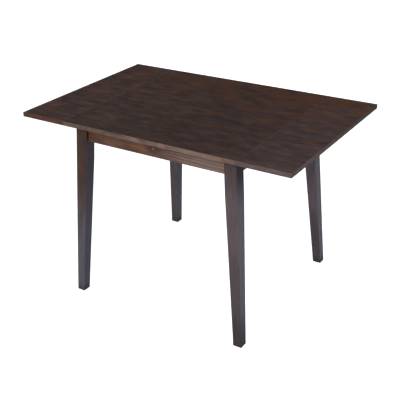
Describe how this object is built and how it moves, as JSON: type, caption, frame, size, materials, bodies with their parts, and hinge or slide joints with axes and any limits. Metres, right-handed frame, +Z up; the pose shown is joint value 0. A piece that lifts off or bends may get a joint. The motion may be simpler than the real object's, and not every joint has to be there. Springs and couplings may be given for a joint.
{
  "type": "drop leaf dining table",
  "caption": "Dining table with a fixed centre panel, end leaves that drop on hinges and friction stays, splayed tapered legs and aprons, in dark stained wood.",
  "frame": {"origin": "on the floor under the middle of the top", "axes": "+X along the table from leaf to leaf, +Y across it towards the back, +Z up"},
  "size_m": [1.164, 0.75, 0.76],
  "materials": {
    "top_wood": "satin dark walnut stain",
    "apron_wood": "satin dark walnut stain",
    "leg_wood": "satin dark walnut stain",
    "block_wood": "bare sanded wood",
    "zinc_plated_steel": "zinc plated",
    "bright_steel": "bright",
    "fibre": "pressed fibre",
    "nylon": "matte"
  },
  "bodies": {
    "frame": {"back_apron": "apron_wood", "centre_panel": "top_wood", "corner_block_back_left": "block_wood", "corner_block_back_right": "block_wood", "corner_block_front_left": "block_wood", "corner_block_front_right": "block_wood", "corner_block_screws": "bright_steel", "foot_glides": "nylon", "front_apron": "apron_wood", "hanger_bolts": "bright_steel", "hanger_nuts": "bright_steel", "hinge_left_back_pin": "zinc_plated_steel", "hinge_left_back_table_plate": "zinc_plated_steel", "hinge_left_front_pin": "zinc_plated_steel", "hinge_left_front_table_plate": "zinc_plated_steel", "hinge_left_middle_pin": "zinc_plated_steel", "hinge_left_middle_table_plate": "zinc_plated_steel", "hinge_right_back_pin": "zinc_plated_steel", "hinge_right_back_table_plate": "zinc_plated_steel", "hinge_right_front_pin": "zinc_plated_steel", "hinge_right_front_table_plate": "zinc_plated_steel", "hinge_right_middle_pin": "zinc_plated_steel", "hinge_right_middle_table_plate": "zinc_plated_steel", "hinge_table_screws": "zinc_plated_steel", "left_apron": "apron_wood", "leg_back_left": "leg_wood", "leg_back_right": "leg_wood", "leg_front_left": "leg_wood", "leg_front_right": "leg_wood", "right_apron": "apron_wood", "stay_apron_screws": "bright_steel", "stay_friction_washers": "fibre", "stay_left_back_apron_bracket": "zinc_plated_steel", "stay_left_front_apron_bracket": "zinc_plated_steel", "stay_right_back_apron_bracket": "zinc_plated_steel", "stay_right_front_apron_bracket": "zinc_plated_steel", "stay_studs": "bright_steel", "top_clip_screws": "bright_steel", "top_clips": "zinc_plated_steel"},
    "left_leaf": {"hinge_left_back_leaf_plate": "zinc_plated_steel", "hinge_left_front_leaf_plate": "zinc_plated_steel", "hinge_left_middle_leaf_plate": "zinc_plated_steel", "left_leaf_panel": "top_wood", "left_leaf_screws": "bright_steel", "left_stay_rivets": "bright_steel", "stay_left_back_leaf_bracket": "zinc_plated_steel", "stay_left_front_leaf_bracket": "zinc_plated_steel"},
    "right_leaf": {"hinge_right_back_leaf_plate": "zinc_plated_steel", "hinge_right_front_leaf_plate": "zinc_plated_steel", "hinge_right_middle_leaf_plate": "zinc_plated_steel", "right_leaf_panel": "top_wood", "right_leaf_screws": "bright_steel", "right_stay_rivets": "bright_steel", "stay_right_back_leaf_bracket": "zinc_plated_steel", "stay_right_front_leaf_bracket": "zinc_plated_steel"},
    "left_front_arm": {"stay_left_front_arm": "zinc_plated_steel"},
    "left_back_arm": {"stay_left_back_arm": "zinc_plated_steel"},
    "right_front_arm": {"stay_right_front_arm": "zinc_plated_steel"},
    "right_back_arm": {"stay_right_back_arm": "zinc_plated_steel"}
  },
  "joints": [
    {"name": "left_leaf_drop", "type": "hinge", "parent": "frame", "child": "left_leaf", "pos_m": [-0.3752, 0, 0.7385], "axis": [0, -1, 0], "range_deg": [0, 90]},
    {"name": "right_leaf_drop", "type": "hinge", "parent": "frame", "child": "right_leaf", "pos_m": [0.3752, 0, 0.7385], "axis": [0, 1, 0], "range_deg": [0, 90]},
    {"name": "left_front_arm_turn", "type": "hinge", "parent": "left_leaf", "child": "left_front_arm", "pos_m": [-0.46132, 0, 0.7315], "axis": [0, -1, 0], "range_deg": [-45, 0]},
    {"name": "left_back_arm_turn", "type": "hinge", "parent": "left_leaf", "child": "left_back_arm", "pos_m": [-0.46132, 0, 0.7315], "axis": [0, -1, 0], "range_deg": [-45, 0]},
    {"name": "right_front_arm_turn", "type": "hinge", "parent": "right_leaf", "child": "right_front_arm", "pos_m": [0.46132, 0, 0.7315], "axis": [0, 1, 0], "range_deg": [-45, 0]},
    {"name": "right_back_arm_turn", "type": "hinge", "parent": "right_leaf", "child": "right_back_arm", "pos_m": [0.46132, 0, 0.7315], "axis": [0, 1, 0], "range_deg": [-45, 0]}
  ],
  "couplings": [
    {"joint": "left_front_arm_turn", "follows": "left_leaf_drop", "ratio": -0.5},
    {"joint": "left_back_arm_turn", "follows": "left_leaf_drop", "ratio": -0.5},
    {"joint": "right_front_arm_turn", "follows": "right_leaf_drop", "ratio": -0.5},
    {"joint": "right_back_arm_turn", "follows": "right_leaf_drop", "ratio": -0.5}
  ]
}
